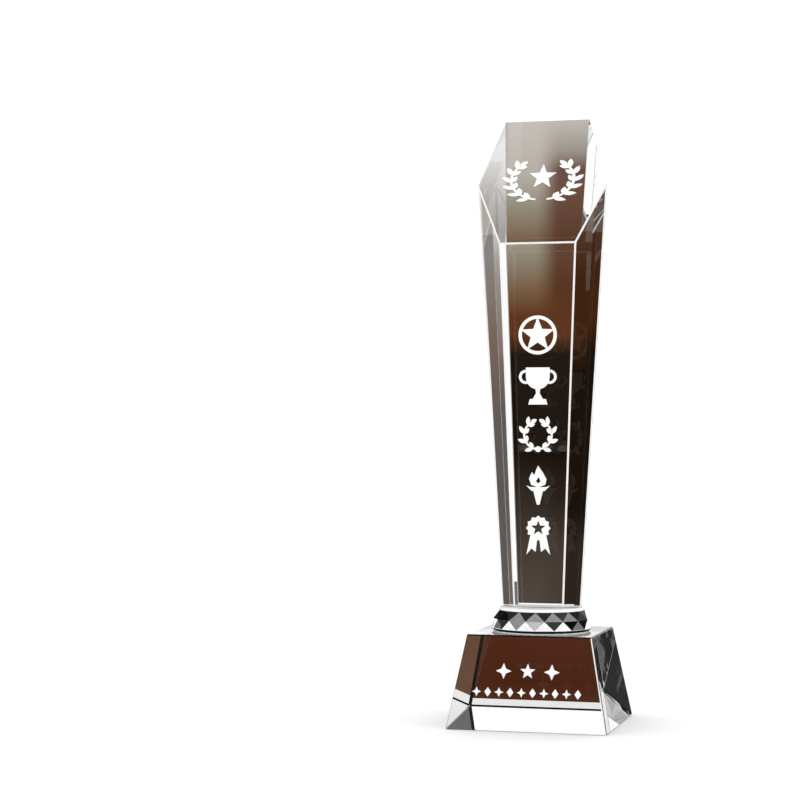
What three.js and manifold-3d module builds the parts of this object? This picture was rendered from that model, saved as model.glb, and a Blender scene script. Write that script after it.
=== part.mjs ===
// A crystal award, in millimetres, +Z up. The origin is the centre of the base's underside.
// A tapered six-sided column with a slanted cut stands on a diamond-cut collar disc and a
// pyramid-sided base. Clear adhesive films join the three crystals, and the engravings in the
// slanted cut, the column's front and the base's front are filled with white enamel.

import * as THREE from 'three';
import { ConvexGeometry } from 'three/addons/geometries/ConvexGeometry.js';
import { mergeVertices } from 'three/addons/utils/BufferGeometryUtils.js';
import Module from 'manifold-3d';

const wasm = await Module();
wasm.setup();

// Base block: a square pyramid with its top cut off.
const BASE_WIDTH = 80;
const BASE_TOP_WIDTH = 62.5;
const BASE_HEIGHT = 46;

// Column: a hexagon with a wide front and back, growing evenly from its foot to its slanted cut.
const COLUMN_HEIGHT = 247.8;
const COLUMN_FACE_WIDTH = 25;
const COLUMN_FOOT_WIDTH = 40.7;
const COLUMN_FOOT_DEPTH = 15.7;
const COLUMN_GROWTH_PER_MM = 0.003;
const CUT_ANGLE = 68.4;

// Collar disc: diamond facets between a smooth girdle below and a flat table above. The table
// carries the column's foot, and the girdle stands out past the table.
const COLLAR_HEIGHT = 11.6;
const TABLE_MARGIN = 0.4;
const COLLAR_FLARE = 4.3;
const COLLAR_FACETS = 16;
const COLLAR_TURN = 3.4;
const COLLAR_FOOT_BEVEL = 0.4;
const GIRDLE_HEIGHT = 1.2;
const CROWN_HEIGHT = 1.4;
const DIAMOND_SPLIT = 0.51;
const DIAMOND_MIDDLE_INSET = 0.7;
const DIAMOND_TOP_INSET = 3.2;
const ROUND_STEPS = 48;

// Adhesive films between the crystals.
const BOND_THICKNESS = 0.2;
const BOND_SEAT_GAP = 0.1;
const BOND_INSET = 0.5;

// Engravings and the enamel in them.
const ENGRAVING_DEPTH = 1.2;
const ENAMEL_GAP = 0.25;
const ENAMEL_RECESS = 0.05;
const CUTTER_OVERRUN = 2;

// Emblem on the slanted cut: a star between two laurel branches.
const EMBLEM_UP_THE_CUT = 36;
const EMBLEM_STAR_RADIUS = 7.4;
const EMBLEM_STAR_LIFT = 1.4;
const EMBLEM_LAUREL_RADIUS = 11.6;
const EMBLEM_LAUREL_WIDENING = 1.4;
const EMBLEM_LEAF_LENGTH = 5;
const EMBLEM_LEAF_WIDTH = 2.2;
const EMBLEM_LEAF_PAIRS = 6;

// Five marks down the column's front, the highest first.
const MARK_TOP_HEIGHT = 136.4;
const MARK_PITCH = 25.1;
const MARK_RADIUS = 9.8;
const MARK_STROKE = 1.7;
const STAR_WAIST = 0.42;

// Two lines of small marks on the base's front.
const UPPER_LINE_HEIGHT = 28.8;
const UPPER_MARK_RADIUS = 3.9;
const UPPER_MARK_PITCH = 12;
const LOWER_LINE_HEIGHT = 18.6;
const LOWER_MARK_RADIUS = 2.3;
const LOWER_MARK_PITCH = 5.6;
const LOWER_MARK_COUNT = 10;
const LOZENGE_WAIST = 0.72;

// Where each crystal starts: a film with its two seat gaps lies between neighbours.
const BOND_STEP = BOND_THICKNESS + 2 * BOND_SEAT_GAP;
const COLLAR_Z = BASE_HEIGHT + BOND_STEP;
const COLUMN_Z = COLLAR_Z + COLLAR_HEIGHT + BOND_STEP;

const TABLE_RADIUS = COLUMN_FOOT_WIDTH / 2 + TABLE_MARGIN;
const COLLAR_RADIUS = TABLE_RADIUS + COLLAR_FLARE;
const COLLAR_FOOT_RADIUS = COLLAR_RADIUS - COLLAR_FOOT_BEVEL;

const crystal = new THREE.MeshStandardMaterial({ color: 0x6b5a4e, roughness: 0.05, metalness: 0 });
const adhesive = new THREE.MeshStandardMaterial({ color: 0xe8eaea, roughness: 0.15, metalness: 0 });
const enamel = new THREE.MeshStandardMaterial({ color: 0xf6f6f3, roughness: 0.7, metalness: 0 });

const award = new THREE.Group();

function addPiece(name, geometry, material) {
  const piece = new THREE.Mesh(geometry, material.clone());
  piece.name = name;
  award.add(piece);
  return piece;
}

// ---------------------------------------------------------------- solids

function solidFrom(geometry) {
  const bare = geometry.clone();
  bare.deleteAttribute('normal');
  bare.deleteAttribute('uv');
  const merged = mergeVertices(bare, 1e-4);
  return new wasm.Manifold(new wasm.Mesh({
    numProp: 3,
    vertProperties: new Float32Array(merged.attributes.position.array),
    triVerts: new Uint32Array(merged.index.array),
  }));
}

function geometryFrom(solid) {
  const mesh = solid.getMesh();
  const geometry = new THREE.BufferGeometry();
  geometry.setAttribute('position', new THREE.BufferAttribute(mesh.vertProperties, 3));
  geometry.setIndex(new THREE.BufferAttribute(mesh.triVerts, 1));
  geometry.computeVertexNormals();
  return geometry;
}

// A prism on a flat outline whose top is the outline times topScale.
function taperedPrism(outline, height, topScale) {
  const shape = new THREE.Shape(outline);
  const geometry = new THREE.ExtrudeGeometry(shape, { depth: height, bevelEnabled: false });
  const position = geometry.attributes.position;
  for (let i = 0; i < position.count; i += 1) {
    if (position.getZ(i) > height / 2) {
      position.setX(i, position.getX(i) * topScale);
      position.setY(i, position.getY(i) * topScale);
    }
  }
  return geometry;
}

// ---------------------------------------------------------------- flat outlines

function point(x, y) {
  return new THREE.Vector2(x, y);
}

function polar(radius, degrees, x = 0, y = 0) {
  const angle = THREE.MathUtils.degToRad(degrees);
  return point(x + radius * Math.cos(angle), y + radius * Math.sin(angle));
}

function arc(radius, from, to, steps, x = 0, y = 0) {
  const points = [];
  for (let i = 0; i <= steps; i += 1) {
    points.push(polar(radius, from + (to - from) * i / steps, x, y));
  }
  return points;
}

function circle(radius, steps, x = 0, y = 0) {
  return arc(radius, 0, 360, steps, x, y).slice(0, -1);
}

// A strip of even width along an arc.
function arcStrip(radius, width, from, to, steps, x = 0, y = 0) {
  const outer = arc(radius + width / 2, from, to, steps, x, y);
  const inner = arc(radius - width / 2, to, from, steps, x, y);
  return outer.concat(inner);
}

function star(tips, outer, inner, x = 0, y = 0) {
  const points = [];
  for (let i = 0; i < tips * 2; i += 1) {
    points.push(polar(i % 2 === 0 ? outer : inner, 90 + 180 * i / tips, x, y));
  }
  return points;
}

// A pointed leaf that starts at root and grows in a direction given in degrees.
function leaf(root, degrees, length, width) {
  const across = [0, 0.72, 1, 0.72, 0];
  const along = [0, 0.2, 0.46, 0.76, 1];
  const right = along.map((t, i) => point(t * length, -across[i] * width / 2));
  const left = along.slice(1, -1).reverse().map((t, i) => point(t * length, across[3 - i] * width / 2));
  const angle = THREE.MathUtils.degToRad(degrees);
  return right.concat(left).map((p) => p.rotateAround(point(0, 0), angle).add(root));
}

function mirrored(outline) {
  return outline.map((p) => point(-p.x, p.y)).reverse();
}

// An outline with every side moved outwards by grow, with its corners kept sharp.
function grown(outline, grow) {
  const anticlockwise = THREE.ShapeUtils.area(outline) > 0;
  const points = anticlockwise ? outline : outline.slice().reverse();
  const outward = (a, b) => point(b.y - a.y, a.x - b.x).normalize();
  return points.map((corner, i) => {
    const before = outward(points[(i + points.length - 1) % points.length], corner);
    const after = outward(corner, points[(i + 1) % points.length]);
    const mitre = before.clone().add(after);
    mitre.multiplyScalar(grow / (1 + before.dot(after)));
    return mitre.add(corner);
  });
}

// ---------------------------------------------------------------- enamel motifs
// A motif is a set of overlapping outlines that make one body, less any holes.

function singleStar(tips, radius, waist, y = 0) {
  return { outlines: [star(tips, radius, radius * waist, 0, y)] };
}

function starInRing() {
  const ring = MARK_RADIUS - MARK_STROKE / 2;
  const upper = arcStrip(ring, MARK_STROKE, -3, 183, 18);
  const lower = arcStrip(ring, MARK_STROKE, 177, 363, 18);
  return { outlines: [star(5, ring, ring * STAR_WAIST), upper, lower] };
}

function cup() {
  const rim = MARK_RADIUS * 0.62;
  const bowl = arc(rim, 180, 360, 10, 0, MARK_RADIUS * 0.4).concat([
    point(rim, MARK_RADIUS * 0.9),
    point(-rim, MARK_RADIUS * 0.9),
  ]);
  const handle = arcStrip(MARK_RADIUS * 0.3, MARK_STROKE * 0.8, 100, -110, 8, rim, MARK_RADIUS * 0.42);
  const stemTop = MARK_RADIUS * -0.1;
  const stemFoot = MARK_RADIUS * -0.74;
  const stem = [
    point(-MARK_STROKE * 0.8, stemTop),
    point(-MARK_STROKE * 0.55, (stemTop + stemFoot) / 2),
    point(-MARK_STROKE * 1.6, stemFoot),
    point(MARK_STROKE * 1.6, stemFoot),
    point(MARK_STROKE * 0.55, (stemTop + stemFoot) / 2),
    point(MARK_STROKE * 0.8, stemTop),
  ];
  const foot = [
    point(-MARK_RADIUS * 0.5, -MARK_RADIUS),
    point(MARK_RADIUS * 0.5, -MARK_RADIUS),
    point(MARK_RADIUS * 0.42, stemFoot + 0.2),
    point(-MARK_RADIUS * 0.42, stemFoot + 0.2),
  ];
  return { outlines: [bowl, handle, mirrored(handle), stem, foot] };
}

// One laurel branch on the right: a curved stem with a leaf on each side at even steps.
function laurelBranch(radius, pairs, leafLength, leafWidth, stroke, from, to) {
  const outlines = [arcStrip(radius, stroke, from, to, 12)];
  for (let i = 0; i < pairs; i += 1) {
    const at = from + (to - from) * (i + 0.6) / pairs;
    const root = polar(radius, at);
    outlines.push(leaf(root, at + 52, leafLength, leafWidth));
    outlines.push(leaf(root, at + 128, leafLength * 0.8, leafWidth));
  }
  outlines.push(leaf(polar(radius, to), to + 90, leafLength * 0.8, leafWidth));
  return { outlines };
}

function wreath() {
  const radius = MARK_RADIUS * 0.72;
  const right = laurelBranch(radius, 4, 4.6, 2.2, MARK_STROKE * 0.6, -92, 58).outlines;
  const tie = circle(MARK_STROKE * 0.9, 8, 0, -radius);
  return { outlines: right.concat(right.map(mirrored), [tie]) };
}

function torch() {
  const flame = [
    point(0, MARK_RADIUS),
    point(2.6, MARK_RADIUS * 0.62),
    point(4.3, MARK_RADIUS * 0.3),
    point(3.6, MARK_RADIUS * 0.02),
    point(0, -MARK_RADIUS * 0.12),
    point(-3.6, MARK_RADIUS * 0.02),
    point(-4.6, MARK_RADIUS * 0.34),
    point(-3.2, MARK_RADIUS * 0.66),
    point(-1.8, MARK_RADIUS * 0.5),
    point(-1.2, MARK_RADIUS * 0.72),
  ];
  const heart = [
    point(0.3, MARK_RADIUS * 0.42),
    point(1.3, MARK_RADIUS * 0.2),
    point(0, MARK_RADIUS * 0.08),
    point(-1.2, MARK_RADIUS * 0.2),
  ];
  const bowl = [
    point(-MARK_RADIUS * 0.62, MARK_RADIUS * -0.02),
    point(-MARK_RADIUS * 0.34, -MARK_RADIUS * 0.3),
    point(MARK_RADIUS * 0.34, -MARK_RADIUS * 0.3),
    point(MARK_RADIUS * 0.62, MARK_RADIUS * -0.02),
    point(MARK_RADIUS * 0.4, -MARK_RADIUS * 0.1),
    point(-MARK_RADIUS * 0.4, -MARK_RADIUS * 0.1),
  ];
  const grip = [
    point(-MARK_RADIUS * 0.26, -MARK_RADIUS * 0.25),
    point(-MARK_STROKE * 0.4, -MARK_RADIUS),
    point(MARK_STROKE * 0.4, -MARK_RADIUS),
    point(MARK_RADIUS * 0.26, -MARK_RADIUS * 0.25),
  ];
  return { outlines: [flame, bowl, grip], holes: [heart] };
}

function rosette() {
  const centre = MARK_RADIUS * 0.36;
  const lobes = 12;
  const frill = [];
  for (let i = 0; i < lobes * 2; i += 1) {
    frill.push(polar(MARK_RADIUS * (i % 2 === 0 ? 0.64 : 0.54), 180 * i / lobes, 0, centre));
  }
  const tail = [
    point(MARK_RADIUS * 0.04, centre - MARK_RADIUS * 0.4),
    point(MARK_RADIUS * 0.14, -MARK_RADIUS * 0.86),
    point(MARK_RADIUS * 0.36, -MARK_RADIUS * 0.68),
    point(MARK_RADIUS * 0.62, -MARK_RADIUS),
    point(MARK_RADIUS * 0.42, centre - MARK_RADIUS * 0.4),
  ];
  return {
    outlines: [frill, tail, mirrored(tail)],
    holes: [star(5, MARK_RADIUS * 0.4, MARK_RADIUS * 0.4 * STAR_WAIST, 0, centre)],
  };
}

// A motif as a solid between two depths, with each side moved outwards by grow.
function motifSolid(motif, grow, low, high) {
  const slab = (outline, amount) => {
    const shape = new THREE.Shape(grown(outline, amount));
    const geometry = new THREE.ExtrudeGeometry(shape, { depth: high - low, bevelEnabled: false });
    geometry.translate(0, 0, low);
    return solidFrom(geometry);
  };
  let body = slab(motif.outlines[0], grow);
  for (const outline of motif.outlines.slice(1)) {
    body = body.add(slab(outline, grow));
  }
  for (const hole of motif.holes ?? []) {
    body = body.subtract(slab(hole, -grow));
  }
  return body;
}

// ---------------------------------------------------------------- faces that carry engravings

// A flat face through two points on the object's centre plane. Its own X runs to the right, its Y
// up the face and its Z out of the crystal.
function faceThrough(low, high) {
  const across = new THREE.Vector3(1, 0, 0);
  const up = high.clone().sub(low).normalize();
  const out = across.clone().cross(up);
  return { low, up, turn: new THREE.Matrix4().makeBasis(across, up, out) };
}

function placeOn(face, x, upTheFace) {
  const origin = face.low.clone().addScaledVector(face.up, upTheFace);
  origin.x += x;
  return face.turn.clone().setPosition(origin);
}

// Cuts a motif into a crystal, adds its enamel as a piece, and gives the cut crystal back.
function engrave(body, name, motif, place) {
  const pocket = geometryFrom(motifSolid(motif, ENAMEL_GAP, -ENGRAVING_DEPTH, CUTTER_OVERRUN));
  pocket.applyMatrix4(place);
  const fill = motifSolid(motif, 0, ENAMEL_GAP - ENGRAVING_DEPTH, -ENAMEL_RECESS);
  const piece = addPiece(name, geometryFrom(fill), enamel);
  piece.position.setFromMatrixPosition(place);
  piece.quaternion.setFromRotationMatrix(place);
  return body.subtract(solidFrom(pocket));
}

// ---------------------------------------------------------------- base block

function makeBase() {
  const half = BASE_WIDTH / 2;
  const topHalf = BASE_TOP_WIDTH / 2;
  const square = [point(-half, -half), point(half, -half), point(half, half), point(-half, half)];
  let body = solidFrom(taperedPrism(square, BASE_HEIGHT, BASE_TOP_WIDTH / BASE_WIDTH));

  const front = faceThrough(
    new THREE.Vector3(0, -half, 0),
    new THREE.Vector3(0, -topHalf, BASE_HEIGHT),
  );
  const slant = 1 / front.up.z;

  const upperTips = [4, 5, 4];
  upperTips.forEach((tips, i) => {
    const x = (i - (upperTips.length - 1) / 2) * UPPER_MARK_PITCH;
    const motif = singleStar(tips, UPPER_MARK_RADIUS, STAR_WAIST);
    const place = placeOn(front, x, UPPER_LINE_HEIGHT * slant);
    body = engrave(body, `base_upper_mark_${i + 1}`, motif, place);
  });

  const lozenge = singleStar(2, LOWER_MARK_RADIUS, LOZENGE_WAIST);
  const spark = singleStar(4, LOWER_MARK_RADIUS, STAR_WAIST);
  for (let i = 0; i < LOWER_MARK_COUNT; i += 1) {
    const x = (i - (LOWER_MARK_COUNT - 1) / 2) * LOWER_MARK_PITCH;
    const motif = i % 2 === 0 ? spark : lozenge;
    const place = placeOn(front, x, LOWER_LINE_HEIGHT * slant);
    body = engrave(body, `base_lower_mark_${i + 1}`, motif, place);
  }
  addPiece('base_block', geometryFrom(body), crystal);
}

// ---------------------------------------------------------------- collar disc

function makeCollar() {
  const corners = [];
  const ring = (radius, height, steps, halfSteps) => {
    for (let i = 0; i < steps; i += 1) {
      const at = polar(radius, 360 * (i + halfSteps) / steps);
      corners.push(new THREE.Vector3(at.x, at.y, height));
    }
  };
  const diamondTop = COLLAR_HEIGHT - CROWN_HEIGHT;
  const diamondMiddle = THREE.MathUtils.lerp(GIRDLE_HEIGHT, diamondTop, DIAMOND_SPLIT);
  ring(COLLAR_FOOT_RADIUS, 0, ROUND_STEPS, 0);
  ring(COLLAR_RADIUS, COLLAR_FOOT_BEVEL, ROUND_STEPS, 0);
  ring(COLLAR_RADIUS, GIRDLE_HEIGHT, ROUND_STEPS, 0);
  ring(COLLAR_RADIUS - DIAMOND_MIDDLE_INSET, diamondMiddle, COLLAR_FACETS, 0.5);
  ring(COLLAR_RADIUS - DIAMOND_TOP_INSET, diamondTop, COLLAR_FACETS, 0);
  ring(TABLE_RADIUS, COLLAR_HEIGHT, ROUND_STEPS, 0);
  const body = solidFrom(new ConvexGeometry(corners));
  const disc = addPiece('collar_disc', geometryFrom(body), crystal);
  disc.position.z = COLLAR_Z;
  disc.rotation.z = THREE.MathUtils.degToRad(COLLAR_TURN);
}

// ---------------------------------------------------------------- column

function columnSection(shrink) {
  const outline = [
    point(-COLUMN_FACE_WIDTH / 2, -COLUMN_FOOT_DEPTH / 2),
    point(COLUMN_FACE_WIDTH / 2, -COLUMN_FOOT_DEPTH / 2),
    point(COLUMN_FOOT_WIDTH / 2, 0),
    point(COLUMN_FACE_WIDTH / 2, COLUMN_FOOT_DEPTH / 2),
    point(-COLUMN_FACE_WIDTH / 2, COLUMN_FOOT_DEPTH / 2),
    point(-COLUMN_FOOT_WIDTH / 2, 0),
  ];
  return grown(outline, -shrink);
}

// Half the column's depth at a height above its foot.
function halfDepthAt(height) {
  return COLUMN_FOOT_DEPTH / 2 * (1 + COLUMN_GROWTH_PER_MM * height);
}

function makeColumn() {
  const headScale = 1 + COLUMN_GROWTH_PER_MM * COLUMN_HEIGHT;
  const stock = taperedPrism(columnSection(0), COLUMN_HEIGHT, headScale);
  stock.translate(0, 0, COLUMN_Z);
  let body = solidFrom(stock);

  // The cut falls forwards from the back face's top edge until it meets the front face.
  const rise = Math.tan(THREE.MathUtils.degToRad(CUT_ANGLE));
  const backHalf = halfDepthAt(COLUMN_HEIGHT);
  const growth = halfDepthAt(1) - halfDepthAt(0);
  const frontHeight = (COLUMN_HEIGHT - rise * (backHalf + halfDepthAt(0))) / (1 + rise * growth);
  const frontEdge = new THREE.Vector3(0, -halfDepthAt(frontHeight), COLUMN_Z + frontHeight);
  const backEdge = new THREE.Vector3(0, backHalf, COLUMN_Z + COLUMN_HEIGHT);
  const cutFace = faceThrough(frontEdge, backEdge);
  const cutLength = frontEdge.distanceTo(backEdge);
  const offcut = new THREE.BoxGeometry(COLUMN_HEIGHT, cutLength * 3, COLUMN_HEIGHT);
  offcut.translate(0, cutLength / 2, COLUMN_HEIGHT / 2);
  offcut.applyMatrix4(placeOn(cutFace, 0, 0));
  body = body.subtract(solidFrom(offcut));

  const laurel = laurelBranch(
    EMBLEM_LAUREL_RADIUS,
    EMBLEM_LEAF_PAIRS,
    EMBLEM_LEAF_LENGTH,
    EMBLEM_LEAF_WIDTH,
    MARK_STROKE * 0.6,
    -80,
    42,
  );
  const widened = laurel.outlines.map((outline) => (
    outline.map((p) => point(p.x * EMBLEM_LAUREL_WIDENING, p.y))
  ));
  const right = { outlines: widened };
  const left = { outlines: widened.map(mirrored) };
  const emblemStar = singleStar(5, EMBLEM_STAR_RADIUS, STAR_WAIST, EMBLEM_STAR_LIFT);
  const emblemPlace = placeOn(cutFace, 0, EMBLEM_UP_THE_CUT);
  body = engrave(body, 'emblem_star', emblemStar, emblemPlace);
  body = engrave(body, 'emblem_laurel_left', left, emblemPlace);
  body = engrave(body, 'emblem_laurel_right', right, emblemPlace);

  const front = faceThrough(
    new THREE.Vector3(0, -halfDepthAt(0), COLUMN_Z),
    frontEdge,
  );
  const marks = [
    ['column_mark_star', starInRing()],
    ['column_mark_cup', cup()],
    ['column_mark_wreath', wreath()],
    ['column_mark_torch', torch()],
    ['column_mark_rosette', rosette()],
  ];
  marks.forEach(([name, motif], i) => {
    const height = (MARK_TOP_HEIGHT - i * MARK_PITCH) / front.up.z;
    body = engrave(body, name, motif, placeOn(front, 0, height));
  });
  addPiece('column', geometryFrom(body), crystal);
}

// ---------------------------------------------------------------- adhesive films

function makeBonds() {
  const collarFilm = taperedPrism(circle(COLLAR_FOOT_RADIUS - BOND_INSET, ROUND_STEPS), BOND_THICKNESS, 1);
  addPiece('collar_bond', geometryFrom(solidFrom(collarFilm)), adhesive)
    .position.z = BASE_HEIGHT + BOND_SEAT_GAP;
  const columnFilm = taperedPrism(columnSection(BOND_INSET), BOND_THICKNESS, 1);
  addPiece('column_bond', geometryFrom(solidFrom(columnFilm)), adhesive)
    .position.z = COLUMN_Z - BOND_SEAT_GAP - BOND_THICKNESS;
}

makeBase();
makeCollar();
makeColumn();
makeBonds();

export default award;
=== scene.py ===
"""A crystal award in metres, +Z up: tapered column, diamond-cut collar, pyramid-sided base, white enamel."""

import math

import bmesh
import bpy
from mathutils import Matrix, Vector


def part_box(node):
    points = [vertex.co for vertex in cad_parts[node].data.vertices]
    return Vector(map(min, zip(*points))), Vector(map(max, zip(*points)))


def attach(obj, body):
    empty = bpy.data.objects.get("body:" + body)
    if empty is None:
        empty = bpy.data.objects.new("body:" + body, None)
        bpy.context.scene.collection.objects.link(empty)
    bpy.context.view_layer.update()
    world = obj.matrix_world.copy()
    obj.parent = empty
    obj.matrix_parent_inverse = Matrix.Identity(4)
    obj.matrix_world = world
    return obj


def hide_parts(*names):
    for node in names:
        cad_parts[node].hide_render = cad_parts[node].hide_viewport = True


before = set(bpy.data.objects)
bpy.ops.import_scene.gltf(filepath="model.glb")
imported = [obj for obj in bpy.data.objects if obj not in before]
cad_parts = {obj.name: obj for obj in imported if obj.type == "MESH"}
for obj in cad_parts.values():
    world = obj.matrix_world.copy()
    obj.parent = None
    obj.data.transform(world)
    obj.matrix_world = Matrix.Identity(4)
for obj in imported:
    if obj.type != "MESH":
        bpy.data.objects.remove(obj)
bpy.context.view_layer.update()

MM = 0.001

# ------------------------------------------------------------------ sizes of the visible work

ARRIS_WIDTH = 1.0 * MM         # the flat ground along an edge of the crystal
ARRIS_DEPTH = 0.25 * MM        # the most that a flat takes off a sharp edge
SAME_EDGE = 0.96               # an edge is in a table of flats if its heading is within 16 degrees of a row's
FACE_AREA = 15 * MM * MM       # a face of the crystal is larger than this, a facet of an engraving smaller
ENAMEL_PROUD = 0.03 * MM       # how far the enamel stands above the crystal
ENAMEL_RECESS = 0.05 * MM      # how far below the crystal the CAD leaves it

# The collar's rings, measured from its own foot and its girdle.
COLLAR_FACETS = 16
COLLAR_TURN = math.radians(3.4)
COLLAR_FOOT_BEVEL = 0.8 * MM
COLLAR_FLARE = 4.3 * MM        # how much wider the girdle's radius is than the crown's
GIRDLE_HEIGHT = 1.2 * MM
CROWN_HEIGHT = 1.4 * MM
DIAMOND_SPLIT = 0.51
DIAMOND_FOOT_INSET = 0.15 * MM
DIAMOND_MIDDLE_INSET = 0.7 * MM
DIAMOND_TOP_INSET = 3.2 * MM
CROWN_CLEARANCE = 0.05 * MM    # how far inside the diamonds' tops the round crown starts
ROUND_STEPS = 12               # steps of each round ring per facet
WELD = 0.002 * MM              # corners of the CAD meshes closer than this are one


# ------------------------------------------------------------------ materials

def linear(code):
    """An sRGB hex colour as linear red, green, blue and alpha."""
    parts = [int(code[i:i + 2], 16) / 255 for i in (0, 2, 4)]
    return [c / 12.92 if c <= 0.04045 else ((c + 0.055) / 1.055) ** 2.4 for c in parts] + [1.0]


def add_node(tree, kind, settings=None, links=None, stops=None):
    """Adds a node; settings are its values by socket or property, links its inputs, stops its colour ramp."""
    node = tree.nodes.new(kind)
    for key, value in (settings or {}).items():
        if key in node.inputs:
            node.inputs[key].default_value = value
        else:
            setattr(node, key, value)
    for key, socket in (links or {}).items():
        tree.links.new(socket, node.inputs[key])
    for i, (place, code) in enumerate(stops or []):
        ramp = node.color_ramp.elements
        stop = ramp[i] if i < len(ramp) and i < 2 else ramp.new(place)
        stop.position = place
        stop.color = linear(code)
    return node


def new_material(name):
    material = bpy.data.materials.new(name)
    material.use_nodes = True
    material.node_tree.nodes.clear()
    return material, material.node_tree


def polished_optical_crystal():
    """Clear optical crystal, machine polished: sharp refraction with a trace of polishing haze."""
    material, tree = new_material("polished_optical_crystal")
    place = add_node(tree, "ShaderNodeTexCoord").outputs["Object"]
    haze = add_node(tree, "ShaderNodeTexNoise", {"Scale": 90.0, "Detail": 2.0}, {"Vector": place})
    rough = add_node(
        tree, "ShaderNodeMapRange", {"From Min": 0.4, "From Max": 0.8, "To Min": 0.0, "To Max": 0.012},
        {"Value": haze.outputs["Fac"]},
    )
    surface = add_node(
        tree, "ShaderNodeBsdfPrincipled",
        {"Base Color": linear("ffffff"), "IOR": 1.52, "Transmission Weight": 1.0},
        {"Roughness": rough.outputs["Result"]},
    )
    add_node(tree, "ShaderNodeOutputMaterial", links={"Surface": surface.outputs[0]})
    return material


def ground_arris_painted_glow():
    """A flat ground along an edge and left unpolished: its translucency gathers the crystal's light, and a
    painted glow, a weak white emission, brightens it into a white line.
    """
    material, tree = new_material("ground_arris_painted_glow")
    place = add_node(tree, "ShaderNodeTexCoord").outputs["Object"]
    grit = add_node(tree, "ShaderNodeTexNoise", {"Scale": 3000.0, "Detail": 2.0}, {"Vector": place})
    tone = add_node(
        tree, "ShaderNodeValToRGB", links={"Fac": grit.outputs["Fac"]},
        stops=[(0.3, "f4f2f0"), (0.6, "ffffff")],
    )
    # Painted glow: the weak white emission stands in for light that the ground flat would gather from the
    # crystal.
    outside = add_node(
        tree, "ShaderNodeBsdfPrincipled", {"Roughness": 0.45, "Emission Strength": 0.3},
        {"Base Color": tone.outputs["Color"], "Emission Color": tone.outputs["Color"]},
    )
    inside = add_node(tree, "ShaderNodeBsdfTranslucent", links={"Color": tone.outputs["Color"]})
    surface = add_node(
        tree, "ShaderNodeMixShader", {"Fac": 0.35}, {1: outside.outputs[0], 2: inside.outputs[0]},
    )
    add_node(tree, "ShaderNodeOutputMaterial", links={"Surface": surface.outputs[0]})
    return material


def painted_dark_arris():
    """An edge flat painted opaque and near black: painted shade standing in for the darkness that a steep
    polished flat shows, as a black line.
    """
    material, tree = new_material("painted_dark_arris")
    place = add_node(tree, "ShaderNodeTexCoord").outputs["Object"]
    haze = add_node(tree, "ShaderNodeTexNoise", {"Scale": 160.0, "Detail": 2.0}, {"Vector": place})
    tone = add_node(
        tree, "ShaderNodeValToRGB", links={"Fac": haze.outputs["Fac"]},
        stops=[(0.35, "060504"), (0.7, "161412")],
    )
    # Painted shade: an opaque near-black colour in place of the dark that the clear crystal would show along
    # this edge.
    surface = add_node(
        tree, "ShaderNodeBsdfPrincipled",
        {"Roughness": 0.2, "IOR": 1.52, "Specular IOR Level": 0.2}, {"Base Color": tone.outputs["Color"]},
    )
    add_node(tree, "ShaderNodeOutputMaterial", links={"Surface": surface.outputs[0]})
    return material


def silvered_facets():
    """Crystal facets with a mirror coat behind them: each one shows a single flat tone of the room."""
    material, tree = new_material("silvered_crystal_facets")
    place = add_node(tree, "ShaderNodeTexCoord").outputs["Object"]
    haze = add_node(tree, "ShaderNodeTexNoise", {"Scale": 420.0, "Detail": 3.0}, {"Vector": place})
    rough = add_node(
        tree, "ShaderNodeMapRange", {"From Min": 0.35, "From Max": 0.75, "To Min": 0.015, "To Max": 0.06},
        {"Value": haze.outputs["Fac"]},
    )
    tone = add_node(
        tree, "ShaderNodeValToRGB", links={"Fac": haze.outputs["Fac"]},
        stops=[(0.3, "e6e6ea"), (0.7, "fafafa")],
    )
    surface = add_node(
        tree, "ShaderNodeBsdfPrincipled", {"Metallic": 1.0},
        {"Base Color": tone.outputs["Color"], "Roughness": rough.outputs["Result"]},
    )
    add_node(tree, "ShaderNodeOutputMaterial", links={"Surface": surface.outputs[0]})
    return material


def satin_bonding_table():
    """The collar's table, left satin for the adhesive: a soft white with a weak gloss."""
    material, tree = new_material("satin_bonding_table")
    place = add_node(tree, "ShaderNodeTexCoord").outputs["Object"]
    grit = add_node(tree, "ShaderNodeTexNoise", {"Scale": 2600.0, "Detail": 3.0}, {"Vector": place})
    bump = add_node(
        tree, "ShaderNodeBump", {"Strength": 0.2, "Distance": 0.02 * MM}, {"Height": grit.outputs["Fac"]},
    )
    tone = add_node(
        tree, "ShaderNodeValToRGB", links={"Fac": grit.outputs["Fac"]},
        stops=[(0.3, "f2f2f2"), (0.65, "ffffff")],
    )
    surface = add_node(
        tree, "ShaderNodeBsdfPrincipled", {"Roughness": 0.35, "Specular IOR Level": 0.3},
        {"Base Color": tone.outputs["Color"], "Normal": bump.outputs["Normal"]},
    )
    add_node(tree, "ShaderNodeOutputMaterial", links={"Surface": surface.outputs[0]})
    return material


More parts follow.
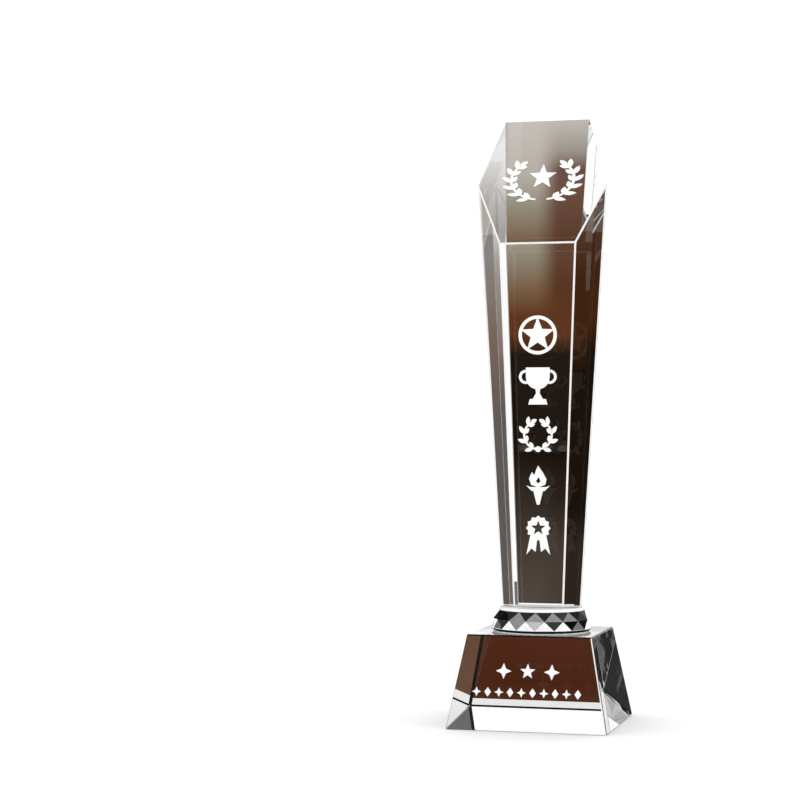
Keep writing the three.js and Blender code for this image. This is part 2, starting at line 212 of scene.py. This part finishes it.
def white_enamel_fill():
    """White enamel brushed into a sandblasted recess: matte, with a fine grit and slightly uneven cover."""
    material, tree = new_material("white_enamel_fill")
    place = add_node(tree, "ShaderNodeTexCoord").outputs["Object"]
    grit = add_node(tree, "ShaderNodeTexNoise", {"Scale": 5200.0, "Detail": 3.0}, {"Vector": place})
    bump = add_node(
        tree, "ShaderNodeBump", {"Strength": 0.25, "Distance": 0.05 * MM}, {"Height": grit.outputs["Fac"]},
    )
    cloud = add_node(tree, "ShaderNodeTexNoise", {"Scale": 420.0, "Detail": 4.0}, {"Vector": place})
    tone = add_node(
        tree, "ShaderNodeValToRGB", links={"Fac": cloud.outputs["Fac"]},
        stops=[(0.3, "f2f2ef"), (0.62, "fefefd")],
    )
    surface = add_node(
        tree, "ShaderNodeBsdfPrincipled",
        {"Roughness": 0.6},
        {"Base Color": tone.outputs["Color"], "Normal": bump.outputs["Normal"]},
    )
    add_node(tree, "ShaderNodeOutputMaterial", links={"Surface": surface.outputs[0]})
    return material


def cured_optical_adhesive():
    """UV-cured optical adhesive: a clear film, faintly clouded where it shrank as it cured."""
    material, tree = new_material("cured_optical_adhesive")
    place = add_node(tree, "ShaderNodeTexCoord").outputs["Object"]
    cloud = add_node(tree, "ShaderNodeTexNoise", {"Scale": 350.0, "Detail": 3.0}, {"Vector": place})
    rough = add_node(
        tree, "ShaderNodeMapRange", {"From Min": 0.35, "From Max": 0.75, "To Min": 0.01, "To Max": 0.08},
        {"Value": cloud.outputs["Fac"]},
    )
    tone = add_node(
        tree, "ShaderNodeValToRGB", links={"Fac": cloud.outputs["Fac"]},
        stops=[(0.3, "f0f3f2"), (0.7, "fbfcfc")],
    )
    surface = add_node(
        tree, "ShaderNodeBsdfPrincipled", {"IOR": 1.5, "Transmission Weight": 1.0},
        {"Base Color": tone.outputs["Color"], "Roughness": rough.outputs["Result"]},
    )
    add_node(tree, "ShaderNodeOutputMaterial", links={"Surface": surface.outputs[0]})
    return material


CRYSTAL = polished_optical_crystal()
ENAMEL = white_enamel_fill()
ADHESIVE = cured_optical_adhesive()
GROUND_EDGE_PAINTED_GLOW = ground_arris_painted_glow()
PAINTED_DARK_EDGE = painted_dark_arris()
SILVERED = silvered_facets()
TABLE = satin_bonding_table()


# ------------------------------------------------------------------ pieces

def add_piece(name, bm, materials, slot, *nodes):
    """Makes a piece of the object from a finished bmesh, in place of CAD nodes."""
    mesh = bpy.data.meshes.new(name)
    bm.normal_update()
    bm.to_mesh(mesh)
    bm.free()
    for material in materials:
        mesh.materials.append(material)
    piece = bpy.data.objects.new(name, mesh)
    bpy.context.scene.collection.objects.link(piece)
    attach(piece, "root")
    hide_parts(*nodes)
    return piece


def cut_flat(bm, point, heading, finish=0):
    """Takes off a solid all that lies beyond a plane and closes it with a face of that material."""
    parts = list(bm.verts) + list(bm.edges) + list(bm.faces)
    cut = bmesh.ops.bisect_plane(
        bm, geom=parts, dist=0.0001 * MM, plane_co=point, plane_no=heading, clear_outer=True,
    )
    rim = [part for part in cut["geom_cut"] if isinstance(part, bmesh.types.BMEdge)]
    if len(rim) > 2:
        for face in bmesh.ops.contextual_create(bm, geom=rim)["faces"]:
            face.material_index = finish


def outer_form(node):
    """The flat-sided solid around a CAD node, without its engravings: a block cut by each of its faces."""
    low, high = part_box(node)
    bm = bmesh.new()
    bmesh.ops.create_cube(bm, size=2 * (high - low).length)
    bmesh.ops.translate(bm, verts=bm.verts, vec=(low + high) / 2)
    cad = bmesh.new()
    cad.from_mesh(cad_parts[node].data)
    bmesh.ops.remove_doubles(cad, verts=cad.verts, dist=WELD)
    bmesh.ops.dissolve_limit(cad, angle_limit=math.radians(0.2), verts=cad.verts, edges=cad.edges)
    done = []
    for face in sorted(cad.faces, key=lambda f: -f.calc_area()):
        corner = face.verts[0].co
        reach = max((v.co - corner).dot(face.normal) for v in cad.verts)
        again = any(face.normal.angle(heading) < math.radians(2) for heading in done)
        if face.calc_area() > FACE_AREA and reach < 0.02 * MM and not again:
            cut_flat(bm, corner, face.normal)
            done.append(face.normal.copy())
    cad.free()
    bmesh.ops.recalc_face_normals(bm, faces=bm.faces)
    return bm


def grind_arrises(bm, flats, others=1):
    """Takes a flat off every edge: by the table its lean, depth and material; the others get one material."""
    bm.normal_update()
    work = []
    for edge in bm.edges:
        first, second = (face.normal for face in edge.link_faces)
        middle = (edge.verts[0].co + edge.verts[1].co) / 2
        heading = (first + second).normalized()
        chosen = [flat for flat in flats if heading.dot(Vector(flat[0]).normalized()) > SAME_EDGE]
        depth = min(ARRIS_WIDTH / 2 * math.tan(first.angle(second) / 2), ARRIS_DEPTH)
        for match, lean, set_depth, finish in chosen or [(None, (0, 0, 0), depth, others)]:
            leaning = (heading + Vector(lean)).normalized()
            work.append((middle - leaning * set_depth, leaning, finish))
    for point, heading, finish in work:
        cut_flat(bm, point, heading, finish)
    bmesh.ops.recalc_face_normals(bm, faces=bm.faces)


def make_column():
    """Both sides have a wide white flat with a painted glow and a hairline painted dark as painted shade; the
    cut's sides have only the painted dark hairline.
    """
    flats = [
        ((-0.38, 0.92, 0), (0, 0, 0), 0.08 * MM, 1),
        ((0.38, 0.92, 0), (0, 0, 0), 0.02 * MM, 0),
    ]
    for side in (-1, 1):
        flats += [
            ((side * 0.87, -0.28, 0.4), (0, 0, 0), 0.12 * MM, 2),
            ((side, 0, -0.06), (0, -0.9, 0), 0.05 * MM, 1),
            ((side, 0, -0.06), (0, -0.5, 0), 0.08 * MM, 2),
        ]
    bm = outer_form("column")
    grind_arrises(bm, flats)
    return add_piece("crystal_column", bm, [CRYSTAL, GROUND_EDGE_PAINTED_GLOW, PAINTED_DARK_EDGE], "crystal", "column")


def make_base():
    """Its flats painted dark, as painted shade for the black lines, are the left and front right uprights,
    the rear foot and the rims of the top.
    """
    flats = [
        ((-1, 1, 0.27), (0, 0, 0), 0.6 * MM, 2),
        ((1, -1, 0.27), (0.25, 0.25, 0), 0.35 * MM, 2),
        ((1, -1, 0.27), (-0.25, -0.25, 0), 0.35 * MM, 1),
        ((-1, -1, 0.27), (0, 0, 0), 0.12 * MM, 2),
        ((0, 0.77, -0.64), (0, 0, 0), 0.4 * MM, 2),
        ((0, -0.64, 0.77), (0, 0, 0), 0.4 * MM, 2),
        ((0.64, 0, 0.77), (0, 0, 0), 0.4 * MM, 2),
        ((-0.64, 0, 0.77), (0, 0, 0), 0.1 * MM, 2),
        ((0, 0.64, 0.77), (0, 0, 0), 0.1 * MM, 2),
        ((1, 1, 0.27), (0, 0, 0), 0.3 * MM, 1),
        ((-0.77, 0, -0.64), (0, 0, 0), 0.25 * MM, 1),
    ]
    bm = outer_form("base_block")
    grind_arrises(bm, flats, 0)
    return add_piece("crystal_base", bm, [CRYSTAL, GROUND_EDGE_PAINTED_GLOW, PAINTED_DARK_EDGE], "crystal", "base_block")


def make_collar():
    """Diamond facets in two rows between a round girdle and a round crown."""
    low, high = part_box("collar_disc")
    centre = (low + high) / 2
    radius = (high.x - low.x) / 2
    table = radius - COLLAR_FLARE
    height = high.z - low.z
    diamond_top = height - CROWN_HEIGHT
    diamond_middle = GIRDLE_HEIGHT + (diamond_top - GIRDLE_HEIGHT) * DIAMOND_SPLIT
    bm = bmesh.new()

    def ring(r, z, count, half_steps=0.0):
        corners = []
        for i in range(count):
            angle = COLLAR_TURN + math.tau * (i + half_steps) / count
            out = Vector((math.cos(angle), math.sin(angle), 0))
            corners.append(bm.verts.new((centre.x + r * out.x, centre.y + r * out.y, low.z + z)))
        return corners

    def band(lower, upper):
        for i in range(len(lower)):
            j = (i + 1) % len(lower)
            bm.faces.new((lower[i], lower[j], upper[j], upper[i])).smooth = True

    def ledge(circle, corners, upwards):
        """The flat slivers between a circle and the facet corners that lie on it."""
        for i in range(COLLAR_FACETS):
            j = (i + 1) % COLLAR_FACETS
            run = [circle[(i * ROUND_STEPS + k) % len(circle)] for k in range(ROUND_STEPS + 1)]
            loop = run + [corners[j], corners[i]]
            bm.faces.new(loop if upwards else loop[::-1])

    count = COLLAR_FACETS * ROUND_STEPS
    foot = ring(radius - COLLAR_FOOT_BEVEL, 0, count)
    girdle_low = ring(radius, COLLAR_FOOT_BEVEL, count)
    girdle_top = ring(radius, GIRDLE_HEIGHT, count)
    lower = ring(radius - DIAMOND_FOOT_INSET, GIRDLE_HEIGHT, COLLAR_FACETS)
    middle = ring(radius - DIAMOND_MIDDLE_INSET, diamond_middle, COLLAR_FACETS, 0.5)
    upper = ring(radius - DIAMOND_TOP_INSET, diamond_top, COLLAR_FACETS)
    inside_facets = (radius - DIAMOND_TOP_INSET) * math.cos(math.pi / COLLAR_FACETS) - CROWN_CLEARANCE
    crown_low = ring(inside_facets, diamond_top, count)
    crown_top = ring(table, height, count)

    bm.faces.new(foot[::-1])
    band(foot, girdle_low)
    band(girdle_low, girdle_top)
    ledge(girdle_top, lower, True)
    for i in range(COLLAR_FACETS):
        j = (i + 1) % COLLAR_FACETS
        bm.faces.new((lower[i], lower[j], middle[i]))
        bm.faces.new((middle[i - 1], lower[i], middle[i]))
        bm.faces.new((middle[i - 1], middle[i], upper[i]))
        bm.faces.new((middle[i], upper[j], upper[i]))
    for i in range(COLLAR_FACETS):
        j = (i + 1) % COLLAR_FACETS
        run = [crown_low[(i * ROUND_STEPS + k) % count] for k in range(ROUND_STEPS + 1)]
        bm.faces.new([upper[i], upper[j]] + run[::-1])
    band(crown_low, crown_top)
    bm.faces.new(crown_top)
    bmesh.ops.recalc_face_normals(bm, faces=bm.faces)
    # The crown and table take the satin white; the foot and the lower girdle are painted dark, a painted
    # shadow for the dark line under the collar.
    for face in bm.faces:
        height_up = face.calc_center_median().z - low.z
        if height_up > diamond_top:
            face.material_index = 1
        elif height_up < 0.95 * GIRDLE_HEIGHT:
            face.material_index = 2
    for edge in bm.edges:
        edge.smooth = edge.calc_face_angle(0) < math.radians(12)
    return add_piece("crystal_collar", bm, [SILVERED, TABLE, PAINTED_DARK_EDGE], "crystal", "collar_disc")


def make_enamel(node):
    """The fill of one engraving, from its CAD outline, brought out to the crystal's face."""
    bm = bmesh.new()
    bm.from_mesh(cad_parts[node].data)
    bmesh.ops.remove_doubles(bm, verts=bm.verts, dist=WELD)
    bmesh.ops.dissolve_limit(bm, angle_limit=math.radians(0.5), verts=bm.verts, edges=bm.edges)
    bmesh.ops.recalc_face_normals(bm, faces=bm.faces)
    front = max(bm.faces, key=lambda f: f.calc_area() if f.normal.y < 0 else 0)
    out = front.normal.copy()
    reach = max(v.co.dot(out) for v in bm.verts)
    top = [v for v in bm.verts if v.co.dot(out) > reach - 0.01 * MM]
    for vertex in top:
        vertex.co += out * (ENAMEL_RECESS + ENAMEL_PROUD)
    return add_piece("enamel_" + node, bm, [ENAMEL], "enamel", node)


make_column()
make_base()
make_collar()
for node_name in sorted(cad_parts):
    if "mark" in node_name or "emblem" in node_name:
        make_enamel(node_name)
for bond in ("collar_bond", "column_bond"):
    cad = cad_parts[bond]
    cad.data.materials.clear()
    cad.data.materials.append(ADHESIVE)


# ------------------------------------------------------------------ studio

WALL_RADIUS = 8.0
WALL_EYE = 0.15                # the walls' slopes are measured from this height
WALL_STEP = 4                  # degrees between a curved wall's corners
WALL_SPACING = 0.001           # each wall stands this much behind the one before it, so that none coincide
STUDIO_LIGHT = 1.08            # the strength of the papers and of the room the crystal sees
PLAIN_LIGHT = 1.12             # the strength of the white that lights matte surfaces
FLOOR_REACH = 20.0             # half the side of the floor

# Tones of the canvas and the walls.
INK = "141210"
SOOT = "1a110a"
BARK = "2c231d"
UMBER = "40220f"
RUST = "5e341a"
CLAY = "5e4838"
TAUPE = "554b44"
SMOKE = "5e5650"
PLUM = "664640"
DUSK = "7b675c"
TAN = "785f47"
FOG = "8c8781"
OLIVE = "8e8673"
PALE = "c2bdb6"
CHALK = "ebe9e7"


def hide_from(thing, *kinds):
    for kind in kinds:
        setattr(thing, "visible_" + kind, False)


def add_card(name, corners, material):
    """A studio card that only the crystal sees; its corners come in rows of two."""
    mesh = bpy.data.meshes.new(name)
    faces = [(i, i + 1, i + 3, i + 2) for i in range(0, len(corners) - 2, 2)]
    mesh.from_pydata(corners, [], faces)
    mesh.materials.append(material)
    card = bpy.data.objects.new(name, mesh)
    bpy.context.scene.collection.objects.link(card)
    hide_from(card, "camera", "diffuse", "shadow")
    return card


def shaded_paper(name, low, high, tones, edges=()):
    """Lit paper. Each tone is its colours by height; edges are where one tone gives way to the next."""
    material, tree = new_material(name)
    place = add_node(tree, "ShaderNodeTexCoord").outputs["Object"]
    axes = add_node(tree, "ShaderNodeSeparateXYZ", links={0: place})
    height = add_node(
        tree, "ShaderNodeMapRange", {"From Min": low, "From Max": high}, {"Value": axes.outputs["Z"]},
    )
    colour = None
    for i, tone in enumerate(tones):
        stops = [((z * MM - low) / (high - low), code) for z, code in tone]
        ramp = add_node(tree, "ShaderNodeValToRGB", links={"Fac": height.outputs[0]}, stops=stops)
        shade = ramp.outputs["Color"]
        if colour is None:
            colour = shade
            continue
        start, end = edges[i - 1]
        across = add_node(
            tree, "ShaderNodeMapRange",
            {"interpolation_type": "SMOOTHSTEP", "From Min": start * MM, "From Max": end * MM},
            {"Value": axes.outputs["X"]},
        )
        colour = add_node(
            tree, "ShaderNodeMixRGB", links={0: across.outputs[0], 1: colour, 2: shade},
        ).outputs[0]
    lamp = add_node(tree, "ShaderNodeEmission", {"Strength": STUDIO_LIGHT}, {"Color": colour})
    add_node(tree, "ShaderNodeOutputMaterial", links={"Surface": lamp.outputs[0]})
    return material


def make_backdrop():
    """The brown and grey canvas behind the award, with a dark band across it, cut on a slant at its right."""
    low, high = 46 * MM, 330 * MM
    behind = 120 * MM
    dark_side = [(46, BARK), (84, BARK), (110, SOOT), (186, SOOT), (208, UMBER), (240, UMBER), (300, CLAY)]
    grey_side = [
        (46, TAUPE), (110, "332c26"), (138, SOOT), (193, SOOT), (205, RUST), (215, RUST),
        (231, TAN), (248, OLIVE), (269, "b4ada3"), (300, PALE),
    ]
    brown_side = [
        (46, "4a3f37"), (83, "453b34"), (110, BARK), (138, SOOT), (193, SOOT), (205, RUST),
        (232, "55331d"), (262, "684838"), (271, PLUM), (282, "9a9188"), (300, "bab6af"),
    ]
    strip_side = [
        (46, "66605b"), (110, SMOKE), (165, SMOKE), (200, DUSK), (236, FOG), (250, "a29d97"), (280, "e3e1de"),
        (300, CHALK),
    ]
    paper = shaded_paper(
        "backdrop_paper", low, high,
        [dark_side, grey_side, brown_side, strip_side], [(-48, -42), (-27, -12), (2, 9)],
    )
    left = -100
    right_edge = [(46, 27.8), (112, 25.2), (200, 22.5), (330, 22.3)]
    corners = [(x * MM, behind, z * MM) for z, right in right_edge for x in (left, right)]
    add_card("backdrop", corners, paper)


def plain_paper(name, code):
    return shaded_paper(name, -1.0, 1.0, [[(-1000, code), (1000, code)]])


def make_small_cards():
    """Boards near the award: what the base's side, top and foot mirror, and a light one by the head."""
    dark = shaded_paper(
        "low_flag_paper", -60 * MM, 50 * MM,
        [[(-60, "606060"), (50, "606060")], [(-60, "2c2c2c"), (50, "2c2c2c")]],
        [(35, 50)],
    )
    white = plain_paper("white_board", "ffffff")
    light = plain_paper("light_board", "e8e8e8")
    flag = [(8, -77), (8, 66), (38, -77), (113, 66)]
    add_card("low_flag", [(x * MM, 200 * MM, z * MM) for x, z in flag], dark)
    add_card("top_board", [(x * MM, 45 * MM, z * MM) for z in (46.4, 57.5) for x in (-70, 70)], white)
    add_card("head_board", [(x * MM, -100 * MM, z * MM) for z in (240.5, 310) for x in (-60, -36.5)], white)
    add_card("foot_board", [(x * MM, y * MM, -0.3 * MM) for y in (40.5, 51) for x in (-90, 90)], light)


def add_wall(name, radius, start, end, tone):
    """A curved wall far off between two headings, shaded by slope; both are in degrees from the award."""
    def rise(slope):
        return WALL_EYE + WALL_RADIUS * math.tan(math.radians(slope))

    low, high = tone[0][0], tone[-1][0]
    tones = [[(rise(slope) / MM, code) for slope, code in tone]]
    paper = shaded_paper(name + "_paper", rise(low), rise(high), tones)
    corners = []
    steps = max(2, round(abs(end - start) / WALL_STEP))
    for i in range(steps + 1):
        heading = math.radians(start + (end - start) * i / steps)
        for slope in (low, high):
            corners.append((radius * math.cos(heading), radius * math.sin(heading), rise(slope)))
    add_card(name, corners, paper)


def make_walls():
    """Each one gives its name, its two headings and its tones by slope, and stands just behind the last."""
    walls = [
        ("front_dark", 254, 264, [(-8.6, "100d0c"), (5, "100d0c")]),
        ("front_grey", 252, 261, [(5.2, SMOKE), (13, "625b57"), (16, DUSK), (18.5, FOG), (21, FOG)]),
        ("side_grey", 242, 251.8, [(22, "1e1e1e"), (36, "3a3a3a")]),
        ("left_light", 208, 218, [(27, "f4f4f4"), (33.6, "f4f4f4")]),
        ("left_mid", 213, 226, [(13, "909090"), (25, "909090")]),
        ("left_brown", 183, 196, [(1.5, BARK), (4, BARK), (5, SOOT), (10, SOOT), (11, UMBER), (13, UMBER),
                                  (17, "594335")]),
        ("left_black", 158, 182, [(8.6, "303030"), (14, "303030"), (20, "101010"), (28, "101010")]),
        ("left_high", 170, 192, [(34, "2b2b2b"), (45, "2b2b2b")]),
        ("left_low", 164, 178, [(-17, "4a3222"), (-10.4, "4a3222")]),
        ("left_dark", 162, 174, [(-10.2, "2c2a28"), (3.5, "2c2a28")]),
        ("right_dark", 342, 369, [(-14, INK), (2.2, INK)]),
        ("right_grey", 370, 386, [(-8, "7a7a7a"), (-1, "7a7a7a")]),
        ("rear_left", 112, 150, [(-1, "2a2a2a"), (25, "101010")]),
        ("right_black", 350.5, 368, [(2.3, "0c0c0c"), (25, "0c0c0c")]),
        ("right_mid", 298, 325, [(11, "3a3a3a"), (33, "3a3a3a")]),
        ("front_tip", 284.5, 290.6, [(1, "a09a90"), (9, "a09a90")]),
        ("front_right", 290.8, 298, [(-2, INK), (23, INK)]),
        ("right_low", 298.2, 312, [(-2, INK), (10.5, INK)]),
        ("rear_edge", 105.5, 111.8, [(-7, "3a3a3a"), (7, "3a3a3a")]),
        ("front_high", 250, 263, [(33, "101010"), (42.5, "101010")]),
        ("side_black", 229, 238, [(-3, INK), (12, INK)]),
        ("left_upper", 193.5, 202, [(15, "201c1a"), (26, "201c1a")]),
        ("rear_low", 146, 158, [(-8, "6f6f6f"), (-1.05, "6f6f6f")]),
        ("rear_mid", 63, 77, [(9, "5f5f5f"), (20, "5f5f5f")]),
        ("rear_high", 28, 46, [(28, "242424"), (41, "242424")]),
        ("rear_black", 34, 62, [(3.2, "121212"), (12, "121212"), (16, "404040"), (24, "404040")]),
        ("brown_table", 52, 126, [(-50, "3a2a20"), (-30, "4e3324"), (-23.7, "5f412e"), (-21.5, "593b29"),
                                  (-19.6, "451d09"), (-17.5, "4e2410"), (-14, "4e2410")]),
    ]
    for i, (name, start, end, tone) in enumerate(walls):
        add_wall(name, WALL_RADIUS + i * WALL_SPACING, start, end, tone)


def make_floor():
    mesh = bpy.data.meshes.new("studio_floor")
    sides = [(-1, -1), (1, -1), (1, 1), (-1, 1)]
    mesh.from_pydata([(x * FLOOR_REACH, y * FLOOR_REACH, 0) for x, y in sides], [], [(0, 1, 2, 3)])
    material, tree = new_material("studio_floor")
    surface = add_node(tree, "ShaderNodeBsdfDiffuse", {"Color": linear("ffffff")})
    add_node(tree, "ShaderNodeOutputMaterial", links={"Surface": surface.outputs[0]})
    mesh.materials.append(material)
    floor = bpy.data.objects.new("studio_floor", mesh)
    floor.location.z = -0.2 * MM
    bpy.context.scene.collection.objects.link(floor)
    hide_from(floor, "transmission", "glossy")


def make_world():
    """Plain white to the eye and to matte surfaces; to the crystal, a white room with a dark floor."""
    world = bpy.data.worlds.new("studio")
    bpy.context.scene.world = world
    world.use_nodes = True
    tree = world.node_tree
    tree.nodes.clear()
    path = add_node(tree, "ShaderNodeLightPath")
    seen = add_node(
        tree, "ShaderNodeMath", {"operation": "MAXIMUM"},
        {0: path.outputs["Is Glossy Ray"], 1: path.outputs["Is Transmission Ray"]},
    )
    heading = add_node(tree, "ShaderNodeTexCoord").outputs["Generated"]
    axes = add_node(tree, "ShaderNodeSeparateXYZ", links={0: heading})
    slope = add_node(
        tree, "ShaderNodeMapRange", {"From Min": -1.0, "From Max": 1.0}, {"Value": axes.outputs["Z"]},
    )
    tone = [
        (-90, "8a8a8c"), (-60, "6c6c6e"), (-40, "1c1c1e"), (-18, "2c2c2e"), (-13, "8a8a8a"), (-10, "ffffff"),
        (9, "ffffff"), (12, "dcdcdc"), (22, "b8b8b8"), (34, "8c8c8c"), (45, "989898"), (49, "606060"),
        (53, "2c2c2c"), (62, "2c2c2c"), (72, "707070"), (90, "9a9a9a"),
    ]
    room_tone = add_node(
        tree, "ShaderNodeValToRGB", links={"Fac": slope.outputs[0]},
        stops=[((math.sin(math.radians(angle)) + 1) / 2, code) for angle, code in tone],
    )
    plain = add_node(tree, "ShaderNodeBackground", {"Color": linear("ffffff"), "Strength": PLAIN_LIGHT})
    room = add_node(
        tree, "ShaderNodeBackground", {"Strength": STUDIO_LIGHT}, {"Color": room_tone.outputs["Color"]},
    )
    both = add_node(
        tree, "ShaderNodeMixShader", links={0: seen.outputs[0], 1: plain.outputs[0], 2: room.outputs[0]},
    )
    add_node(tree, "ShaderNodeOutputWorld", links={"Surface": both.outputs[0]})


def make_camera():
    data = bpy.data.cameras.new("camera")
    data.lens = 94.75
    data.sensor_width = 36.0
    data.clip_end = 100.0
    camera = bpy.data.objects.new("camera", data)
    bpy.context.scene.collection.objects.link(camera)
    yaw = math.radians(11.204)
    distance = 1068.1 * MM
    camera.location = (distance * math.sin(yaw), -distance * math.cos(yaw), 143.7 * MM)
    camera.rotation_euler = (math.radians(90.993), math.radians(-0.15), math.radians(15.055))
    bpy.context.scene.camera = camera


make_backdrop()
make_small_cards()
make_walls()
make_floor()
make_world()
make_camera()

scene = bpy.context.scene
scene.view_settings.view_transform = "Standard"
scene.cycles.max_bounces = 32
scene.cycles.transmission_bounces = 32
scene.cycles.glossy_bounces = 16
scene.cycles.caustics_refractive = True
scene.cycles.caustics_reflective = True
